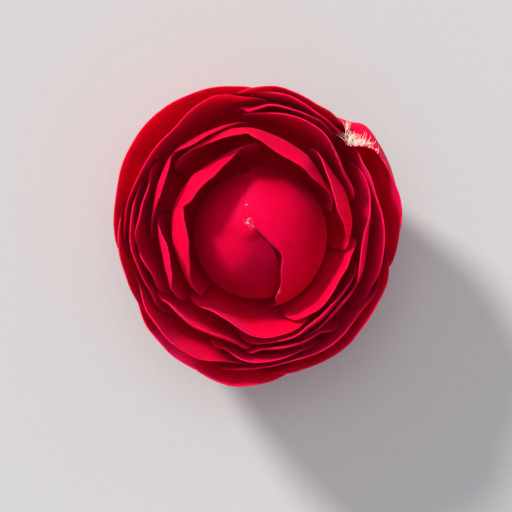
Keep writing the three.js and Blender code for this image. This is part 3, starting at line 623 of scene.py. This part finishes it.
def petal_piece(petal, number, point_at, ripple):
    """A petal's fine piece; point_at gives its middle face, and ripple is how wavy it is."""
    rng = np.random.default_rng(number + FIRST_SEED)
    shape = [(rng.uniform(3, 19), rng.uniform(0, 2 * np.pi), rng.uniform(0.2, 1)) for _ in range(6)]
    petal["nibble"] = lambda u: NIBBLE * sum(a * np.sin(f * np.pi * u + p) for f, p, a in shape)
    rough = point_at(petal, *grid_over(ROUGH_GRID, ROUGH_GRID))
    pitch = petal.get("pitch", PITCH)
    columns = int(step_lengths(rough, 1).sum(axis=1).max() / pitch)
    rows = int(step_lengths(rough, 0).sum(axis=0).max() / pitch)
    u, v = grid_over(columns, rows)
    middle = point_at(petal, u, v)
    soft = waves(rng, u, 4, 1.2, 5.5) * smooth(0.45, 1, v) ** 2
    edge = to_edges(middle)
    soft = soft + 0.5 * waves(rng, v + 3, 3, 4, 9) * np.exp(-edge / 3) * smooth(0.3, 0.8, v)
    middle = middle + normals_of(middle) * (ripple * soft)[..., None]
    edge = to_edges(middle)
    thickness = mix(RIM_THICKNESS, BODY_THICKNESS, smooth(0, RIM_TAPER, edge))
    coordinates = {
        "grain": np.stack([u * 0.5 + 3.7 * number, v], axis=-1),
        "place": np.stack([edge, v], axis=-1),
    }
    piece = blade(petal["name"] + "_fine", middle, thickness, coordinates)
    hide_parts(petal["name"])
    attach(piece, "root")
    return piece


# ---------------------------------------------------------------- materials

CLAW_COLOUR = (0.75, 0.32, 0.24, 1.0)
SCAR_COLOUR = (0.86, 0.34, 0.42, 1.0)
SCAR_HEIGHTS = (0.03, 0.034)  # no scars below the first, in metres
PAINTED_SHADE_FROM = (-0.0034, 0.0012)  # where the painted shade on the valley flank begins and is full, in metres along its way
PAINTED_SHADE_LIMIT = (0.004, 0.0)  # and the same along Y


class Skin:
    """A material and its nodes, with short ways to add more."""

    def __init__(self, name):
        self.material = bpy.data.materials.new(name)
        self.material.use_nodes = True
        self.tree = self.material.node_tree
        self.shader = self.tree.nodes["Principled BSDF"]

    def node(self, kind, settings=(), **inputs):
        """A new node; inputs are its sockets by name, with _ for a space."""
        made = self.tree.nodes.new("ShaderNode" + kind)
        for key, value in dict(settings).items():
            setattr(made, key, value)
        for key, value in inputs.items():
            self.feed(made, key.replace("_", " "), value)
        return made

    def feed(self, target, socket, value):
        if isinstance(value, bpy.types.NodeSocket):
            self.tree.links.new(value, target.inputs[socket])
        else:
            target.inputs[socket].default_value = value

    def place(self, map_name):
        return self.node("UVMap", {"uv_map": map_name}).outputs["UV"]

    def parts(self, vector):
        return self.node("SeparateXYZ", Vector=vector).outputs

    def scaled(self, vector, factors):
        made = self.node("VectorMath", {"operation": "MULTIPLY"})
        self.feed(made, 0, vector)
        self.feed(made, 1, factors)
        return made.outputs[0]

    def between(self, value, low, high, out_low=0.0, out_high=1.0):
        made = self.node("MapRange", {"interpolation_type": "SMOOTHSTEP"}, Value=value)
        for socket, number in zip(("From Min", "From Max", "To Min", "To Max"),
                                  (low, high, out_low, out_high)):
            made.inputs[socket].default_value = number
        return made.outputs["Result"]

    def noise(self, vector, scale, detail=3.0, roughness=0.55):
        return self.node("TexNoise", Vector=vector, Scale=scale, Detail=detail,
                         Roughness=roughness).outputs["Fac"]

    def blend(self, fac, low, high):
        made = self.node("Mix", {"data_type": "RGBA"})
        self.feed(made, 0, fac)
        self.feed(made, 6, low)
        self.feed(made, 7, high)
        return made.outputs[2]

    def times(self, a, b):
        made = self.node("Math", {"operation": "MULTIPLY"})
        self.feed(made, 0, a)
        self.feed(made, 1, b)
        return made.outputs[0]

    def bump(self, height, strength, distance, normal=None):
        made = self.node("Bump", Height=height, Strength=strength, Distance=distance)
        if normal is not None:
            self.feed(made, "Normal", normal)
        return made.outputs["Normal"]

    def set(self, **values):
        for key, value in values.items():
            self.feed(self.shader, key.replace("_", " "), value)


def times_colour(colour, factor):
    return tuple(c * factor for c in colour[:3]) + (1.0,)


def petal_skin(name, deep, bright, painted_sheen_colour, scars, scar_reach, glow, painted_shade_heights=None,
               painted_shade_side=None):
    """Velvety petal tissue in reds from deep to bright, with painted highlights: a pale pink line of
    painted sheen along each rim and painted glints on the papillae.

    scars are pale nicks, as (x, y, size) seen from above, up to scar_reach millimetres from an edge.
    glow is how far light spreads inside the tissue, in metres. The next two arguments paint shade:
    between the first pair of heights, in metres, the red is darkened downwards as painted shade deep
    in the cup, and the second is the way towards a flank that is darkened as painted shade too.
    """
    skin = Skin(name)
    grain, place = skin.place("grain"), skin.parts(skin.place("place"))
    solid = skin.node("TexCoord").outputs["Object"]
    veins = skin.noise(skin.scaled(grain, (150.0, 3.5, 1.0)), 1.0, 4.0, 0.6)
    streaks = skin.noise(skin.scaled(grain, (26.0, 1.6, 1.0)), 1.0, 2.0)
    clouds = skin.noise(solid, 90.0, 3.0)
    papillae = skin.noise(solid, 3600.0, 2.0, 0.7)
    colour = skin.blend(skin.between(clouds, 0.3, 0.7), deep, bright)
    colour = skin.blend(skin.between(veins, 0.5, 0.75, 0.0, 0.45), colour, times_colour(deep, 0.62))
    colour = skin.blend(skin.between(streaks, 0.45, 0.8, 0.0, 0.35), colour, bright)
    towards_claw = skin.node("Math", {"operation": "MULTIPLY_ADD"})
    for socket, value in enumerate((streaks, -0.3, place[1])):
        skin.feed(towards_claw, socket, value)
    claw = skin.between(towards_claw.outputs[0], -0.15, 0.22, 0.6, 0.0)
    colour = skin.blend(claw, colour, CLAW_COLOUR)
    # painted shade: the red is darkened low on the bud, standing in for the shade deep in the cup
    if painted_shade_heights:
        low = skin.between(skin.parts(solid)[2], *painted_shade_heights, 0.55, 0.0)
        colour = skin.blend(low, colour, times_colour(deep, 0.3))
    # painted shade: the red is darkened on the flank of the valley left of the bud's free edge
    if painted_shade_side:
        slope = skin.node("VectorMath", {"operation": "DOT_PRODUCT"})
        skin.feed(slope, 0, solid)
        skin.feed(slope, 1, painted_shade_side)
        painted_shade_flank = skin.between(slope.outputs["Value"], *PAINTED_SHADE_FROM)
        limit = skin.between(skin.parts(solid)[1], *PAINTED_SHADE_LIMIT, 0.0, 0.65)
        colour = skin.blend(skin.times(painted_shade_flank, limit), colour, times_colour(deep, 0.5))
    # painted glints: pale pink specks on the papillae stand in for their sparkle in the sun
    colour = skin.blend(skin.between(papillae, 0.62, 0.8, 0.0, 0.3), colour, painted_sheen_colour)
    # painted highlight: a pale pink line along each rim stands in for its sheen
    colour = skin.blend(skin.between(place[0], 0.0, 0.22, 0.25, 0.0), colour, painted_sheen_colour)
    chips = skin.times(skin.between(skin.noise(solid, 1900.0, 2.0), 0.5, 0.6),
                       skin.between(skin.parts(solid)[2], *SCAR_HEIGHTS))
    chips = skin.times(chips, skin.between(place[0], scar_reach * 0.6, scar_reach, 1.0, 0.0))
    seen_from_above = skin.scaled(solid, (1.0, 1.0, 0.0))
    for x, y, size in scars:
        near = skin.node("VectorMath", {"operation": "DISTANCE"})
        skin.feed(near, 0, seen_from_above)
        skin.feed(near, 1, (x * MM, y * MM, 0.0))
        spot = skin.between(near.outputs["Value"], size * 0.3 * MM, size * MM, 0.85, 0.0)
        colour = skin.blend(skin.times(spot, chips), colour, SCAR_COLOUR)
    ridges = skin.bump(veins, 0.35, 0.00012)
    normal = skin.bump(papillae, 0.45, 0.00005, ridges)
    skin.set(Base_Color=colour, Normal=normal, Roughness=0.6, IOR=1.42,
             Specular_IOR_Level=0.35, Specular_Tint=(1.0, 0.05, 0.7, 1.0),
             Sheen_Weight=0.15, Sheen_Roughness=0.4, Sheen_Tint=(1.0, 0.05, 0.4, 1.0),
             Subsurface_Weight=0.85, Subsurface_Radius=(1.0, 0.05, 0.12), Subsurface_Scale=glow)
    return skin.material


def leaf_skin(name, green, brown):
    """Silky green tissue with brown patches and short pale hairs."""
    skin = Skin(name)
    solid = skin.node("TexCoord").outputs["Object"]
    patches = skin.noise(solid, 220.0, 4.0)
    hairs = skin.noise(skin.scaled(solid, (1.0, 1.0, 4.0)), 2600.0, 2.0)
    colour = skin.blend(skin.between(patches, 0.42, 0.68), green, brown)
    colour = skin.blend(skin.between(hairs, 0.6, 0.8, 0.0, 0.5), colour, (0.55, 0.55, 0.4, 1.0))
    skin.set(Base_Color=colour, Normal=skin.bump(hairs, 0.5, 0.00008), Roughness=0.62,
             Sheen_Weight=0.3, Sheen_Roughness=0.4, Sheen_Tint=(0.8, 0.85, 0.6, 1.0))
    return skin.material


def thread_skin(name):
    """Dry, pale threads with a pink tinge here and there."""
    skin = Skin(name)
    solid = skin.node("TexCoord").outputs["Object"]
    tone = skin.noise(solid, 1400.0, 3.0)
    colour = skin.blend(skin.between(tone, 0.48, 0.72),
                        (0.93, 0.88, 0.76, 1.0), (0.8, 0.55, 0.42, 1.0))
    skin.set(Base_Color=colour, Roughness=0.55, Normal=skin.bump(tone, 0.3, 0.00004),
             Subsurface_Weight=0.4, Subsurface_Radius=(1.0, 0.7, 0.5), Subsurface_Scale=0.0003)
    return skin.material


CUT_TOP = (0.00042, 0.00055)  # the cut's wood gives way to bark between these heights, in metres
PITH = (0.0004, 0.0007)  # the pith fades between these distances from the axis
BARK_RIM = (0.00135, 0.0016)  # and the green rim begins between these


def bark_skin(name):
    """Young brown bark, and pale wood with pith and a green rim where the stem is cut."""
    skin = Skin(name)
    solid = skin.node("TexCoord").outputs["Object"]
    fibres = skin.noise(skin.scaled(solid, (1.0, 1.0, 0.22)), 1700.0, 4.0, 0.65)
    spots = skin.noise(solid, 600.0, 2.0)
    colour = skin.blend(skin.between(fibres, 0.35, 0.7),
                        (0.11, 0.07, 0.035, 1.0), (0.3, 0.24, 0.12, 1.0))
    colour = skin.blend(skin.between(spots, 0.6, 0.7, 0.0, 0.6), colour, (0.4, 0.34, 0.2, 1.0))
    length = skin.node("VectorMath", {"operation": "LENGTH"})
    skin.feed(length, 0, skin.scaled(solid, (1.0, 1.0, 0.0)))
    from_axis = length.outputs["Value"]
    rays = skin.noise(skin.scaled(solid, (1.0, 1.0, 0.1)), 2400.0, 3.0)
    wood = skin.blend(skin.between(rays, 0.4, 0.65), (0.5, 0.5, 0.24, 1.0), (0.36, 0.38, 0.15, 1.0))
    wood = skin.blend(skin.between(from_axis, *PITH), (0.62, 0.6, 0.42, 1.0), wood)
    wood = skin.blend(skin.between(from_axis, *BARK_RIM), wood, (0.12, 0.16, 0.04, 1.0))
    above_cut = skin.between(skin.parts(solid)[2], *CUT_TOP)
    colour = skin.blend(above_cut, wood, colour)
    skin.set(Base_Color=colour, Normal=skin.bump(fibres, 0.7, 0.00015), Roughness=0.8)
    return skin.material


# ---------------------------------------------------------------- the bloom

# Pale nicks, seen from above: x, y and size in millimetres.
RIM_SCARS = ((3.4, 32.9, 0.9), (-22.6, -27.0, 0.9), (-15.3, -32.6, 1.0), (18.2, -24.1, 0.9),
             (-30.1, 22.8, 0.8), (-2.7, 25.0, 0.8), (-24.5, 19.9, 0.7), (-27.8, -3.1, 0.8),
             (-17.3, -13.0, 0.9), (-20.1, 18.9, 0.8))
BUD_SCARS = ((-2.4, 3.1, 1.3), (-1.5, 1.9, 0.8), (5.0, -13.8, 0.8), (-2.8, 7.2, 0.5))
RIM_SCAR_REACH = 1.0
BUD_SCAR_REACH = 9.0
# deep red, bright red, and the pale pink of the painted sheen along the rims and the painted glints
PETAL_COLOURS = ((0.6, 0.0, 0.013, 1.0), (0.8, 0.0, 0.032, 1.0), (0.88, 0.02, 0.16, 1.0))
BUD_COLOURS = ((0.56, 0.0, 0.017, 1.0), (0.7, 0.0, 0.037, 1.0), (0.8, 0.02, 0.15, 1.0))
PETAL_GLOW = 0.0018
BUD_GLOW = 0.0008
# painted shade: between these heights, in metres, the bud's red is darkened downwards
BUD_PAINTED_SHADE_HEIGHTS = (0.032, 0.0395)
PETAL_RIPPLE = 0.15
BUD_RIPPLE = 0.05
PETAL_SKIN = petal_skin("petal_velvet", *PETAL_COLOURS, RIM_SCARS, RIM_SCAR_REACH, PETAL_GLOW)
BUD_LOOK = (*BUD_COLOURS, BUD_SCARS, BUD_SCAR_REACH, BUD_GLOW, BUD_PAINTED_SHADE_HEIGHTS)
BUD_SKIN = petal_skin("bud_velvet", *BUD_LOOK)
# bud_petal_b's skin, with painted shade on the flank of its valley
VALLEY_SHADED_BUD_SKIN = petal_skin("bud_velvet_painted_valley_shade", *BUD_LOOK, VALLEY_SIDE + (0.0,))

for number, petal in enumerate(BUD_PETALS):
    piece = petal_piece(petal, number, bud_point, BUD_RIPPLE)
    piece.data.materials.append(VALLEY_SHADED_BUD_SKIN if petal["name"] == "bud_petal_b" else BUD_SKIN)
occupied = bud_map()
for petal in RING_PETALS:
    occupied = lay(petal, occupied)
beyond = np.full(occupied.shape, np.inf)
for petal in reversed(RING_PETALS):
    beyond = press(petal, beyond)
for number, petal in enumerate(RING_PETALS, len(BUD_PETALS)):
    piece = petal_piece(petal, number, ring_point, PETAL_RIPPLE)
    piece.data.materials.append(PETAL_SKIN)

# Pale threads of the torn tissue along the folded rim of petal_5e: azimuth, length, count.
FRAYED = ((396, 0.5, 6), (400, 0.8, 22), (403.5, 1.1, 48), (406.5, 1.1, 44), (409.5, 0.9, 18))
THREAD_RADIUS = 0.085
THREAD_POINTS = 7
torn = next(petal for petal in RING_PETALS if petal["name"] == "petal_5e")
torn_from, torn_to = torn["rim"][0][0], torn["rim"][-1][0]
rng = np.random.default_rng(5)
paths = []
for azimuth, length, count in FRAYED:
    for _ in range(count):
        at = azimuth + rng.uniform(-2, 2)
        u = np.array([2 * (at - torn_from) / (torn_to - torn_from) - 1])
        foot = ring_point(torn, u, rng.uniform(0.975, 1.0))[0] + np.array([0, 0, 0.1])
        turn = math.radians(at + rng.normal(18, 32))
        heading = np.array([math.cos(turn), math.sin(turn), rng.uniform(0.15, 0.6)])
        bend = rng.normal(0, 0.35, 3)
        reach = length * rng.uniform(0.8, 2.4)
        t = np.linspace(0, 1, THREAD_POINTS)[:, None]
        paths.append(foot + reach * (heading * t + bend * t * t))
tuft = fibres_piece("frayed_threads", paths, THREAD_RADIUS)
tuft.data.materials.append(thread_skin("dry_threads"))
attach(tuft, "root")

# The calyx: silky sepals round a ring, and three bracts a little lower.
SEPAL_ROOT = 2.6  # how far from the axis they start
SEPAL_HEIGHT = 4.9
SEPAL_SLOPE = 0.72
SEPAL_RIM, SEPAL_BODY = 0.16, 0.5
SEPAL_TAPER = 1.6
SEPAL_GRID = 31
SEPALS = (  # azimuth, length, width, how much lower
    (20, 8.6, 7.8, 0), (92, 8.4, 7.6, 0), (164, 8.8, 8.0, 0), (236, 8.3, 7.7, 0), (308, 8.6, 7.9, 0),
    (56, 6.2, 6.0, 0.75), (176, 6.0, 6.2, 0.75), (296, 6.4, 5.8, 0.75))
CALYX_RING = [  # distance from the axis and height
    (0, 3.86), (2.3, 3.86), (2.7, 3.8), (3.0, 3.88), (3.25, 4.15), (3.42, 4.5), (3.44, 4.8),
    (3.38, 5.2), (3.25, 5.5), (3.0, 5.58), (2.7, 5.56), (0, 5.56)]
ROUND_SIDES = 72
SEPAL_SKIN = leaf_skin("sepal_silk", (0.12, 0.17, 0.035, 1.0), (0.2, 0.12, 0.05, 1.0))


def sepal_point(sepal, u, v):
    """The middle face of a sepal or bract."""
    azimuth, length, width, drop = sepal
    radius = mix(SEPAL_ROOT, length - 0.5 * u * u * v ** 3, v)
    half = (width / 2) * np.sin(np.pi * mix(0.28, 0.97, v)) ** 0.6
    bend = u * half
    cupped = 0.01 * bend * bend * (v - 0.3)
    height = SEPAL_HEIGHT - SEPAL_SLOPE * (radius - SEPAL_ROOT) + cupped - drop
    a = math.radians(azimuth)
    return np.stack([radius * math.cos(a) - bend * math.sin(a),
                     radius * math.sin(a) + bend * math.cos(a), height], axis=-1)


def calyx_piece(piece):
    piece.data.materials.append(SEPAL_SKIN)
    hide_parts("calyx")
    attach(piece, "root")


for count, sepal in enumerate(SEPALS):
    u, v = grid_over(SEPAL_GRID, SEPAL_GRID)
    middle = sepal_point(sepal, u, v)
    middle[..., 2] += 0.05 * np.sin(5 * u + 3 * v + count) * v
    thickness = mix(SEPAL_RIM, SEPAL_BODY, smooth(0, SEPAL_TAPER, to_edges(middle)))
    calyx_piece(blade("sepal_%d_fine" % (count + 1), middle, thickness,
                      {"grain": np.stack([u * 0.5 + 2.3 * count, v], axis=-1)}))
calyx_piece(turned_piece("calyx_ring_fine", CALYX_RING, ROUND_SIDES,
                         lambda angle, height: 1 + 0.012 * np.sin(5 * angle + height)))

# The stem and the receptacle, with the scars of fallen bud scales.
STEM_RADIUS = 1.9
STEM_TOP = 7.4  # where the stem has widened into the receptacle
CONE = math.tan(math.radians(CLAW_TILT))  # how fast the receptacle narrows upwards
CONE_GAP = 0.5  # how far it stays inside the claws
ANGULAR_BELOW = 4  # the height below which the stem isn't quite round
STEM_SCARS_AT = (1.7, 2.5, 3.15)
STEM_SCAR_RISE = 0.07
STEM_SCAR_WIDTH = 0.13
CUT_END = [(0, 0.4), (0.45, 0.42), (0.9, 0.4), (1.4, 0.41), (1.62, 0.42), (1.75, 0.46)]
TOP_END = [(1.35, 16.45), (0.9, 16.62), (0, 16.8)]
STEM_HEIGHTS = np.concatenate([np.linspace(0.56, 4.2, 40), np.linspace(4.35, STEM_TOP, 18),
                               np.linspace(7.8, 15.8, 24)])


def cone_radius(height):
    return (HEART_HEIGHT - height) * CONE - CONE_GAP


def stem_radius(height):
    if height >= STEM_TOP:
        return cone_radius(height)
    low = STEM_RADIUS * (0.94 + 0.06 * float(smooth(0.4, 0.8, height)))
    return along([(0, low), (4.2, STEM_RADIUS), (5.2, STEM_RADIUS * 1.1), (6.2, STEM_RADIUS * 1.3),
                  (STEM_TOP, cone_radius(STEM_TOP))], height)


def stem_wobble(angle, height):
    if height >= ANGULAR_BELOW:
        return 1 + 0 * angle
    return 1 + 0.05 * np.sin(3 * angle + height) + 0.012 * np.sin(11 * angle + 3 * height)


stem_line = list(CUT_END)
for height in STEM_HEIGHTS:
    scars = sum(STEM_SCAR_RISE * math.exp(-((height - at) / STEM_SCAR_WIDTH) ** 2)
                for at in STEM_SCARS_AT)
    stem_line.append((float(stem_radius(height)) + scars, float(height)))
stem = turned_piece("stem_fine", stem_line + TOP_END, ROUND_SIDES, stem_wobble)
stem.data.materials.append(bark_skin("young_bark"))
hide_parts("stem")
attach(stem, "root")

# ---------------------------------------------------------------- stage, light and camera

FLOOR_HALF = 3.0
FLOOR_COLOURS = ((0.46, 0.46, 0.455, 1.0), (0.5, 0.5, 0.495, 1.0))
floor_mesh = bpy.data.meshes.new("floor")
floor_mesh.from_pydata([(-FLOOR_HALF, -FLOOR_HALF, 0), (FLOOR_HALF, -FLOOR_HALF, 0),
                        (FLOOR_HALF, FLOOR_HALF, 0), (-FLOOR_HALF, FLOOR_HALF, 0)], [], [(0, 1, 2, 3)])
floor = bpy.data.objects.new("floor", floor_mesh)
bpy.context.scene.collection.objects.link(floor)
floor_skin = Skin("floor_paper")
speckle = floor_skin.noise(floor_skin.node("TexCoord").outputs["Object"], 700.0, 2.0)
floor_skin.set(Base_Color=floor_skin.blend(speckle, *FLOOR_COLOURS), Roughness=0.9)
floor_mesh.materials.append(floor_skin.material)


def sun(name, azimuth, elevation, energy, width, colour):
    """A far lamp in a direction; width is how wide it looks, in degrees, and softens its shadows."""
    data = bpy.data.lights.new(name, "SUN")
    data.energy = energy
    data.angle = math.radians(width)
    data.color = colour
    lamp = bpy.data.objects.new(name, data)
    a, b = math.radians(azimuth), math.radians(elevation)
    towards = Vector((math.cos(a) * math.cos(b), math.sin(a) * math.cos(b), math.sin(b)))
    lamp.rotation_euler = towards.to_track_quat("Z", "Y").to_euler()
    bpy.context.scene.collection.objects.link(lamp)


sun("sun", 131.0, 29.0, 4.3, 11.0, (1.0, 0.97, 0.93))
sun("soft_box_above", 100.0, 78.0, 0.85, 40.0, (0.97, 0.96, 1.0))

world = bpy.data.worlds.new("studio")
bpy.context.scene.world = world
world.use_nodes = True
background = world.node_tree.nodes["Background"].inputs
background["Color"].default_value = (0.95, 0.93, 1.0, 1.0)
background["Strength"].default_value = 0.53

CAMERA_HEIGHT = 0.435
FRAME_WIDTH = 0.1244  # what the frame spans at the height of the rims
RIM_HEIGHT = 0.035
SENSOR_WIDTH = 36.0
BLOOM_OFFSET = (-2 / 512, -21.5 / 512)  # of the frame's middle from the bloom's, in frame widths
camera_data = bpy.data.cameras.new("camera")
camera_data.sensor_width = SENSOR_WIDTH
camera_data.lens = SENSOR_WIDTH * (CAMERA_HEIGHT - RIM_HEIGHT) / FRAME_WIDTH
camera_data.shift_x, camera_data.shift_y = BLOOM_OFFSET
camera = bpy.data.objects.new("camera", camera_data)
camera.location = (0, 0, CAMERA_HEIGHT)
bpy.context.scene.collection.objects.link(camera)
bpy.context.scene.camera = camera
bpy.context.scene.view_settings.view_transform = "Standard"
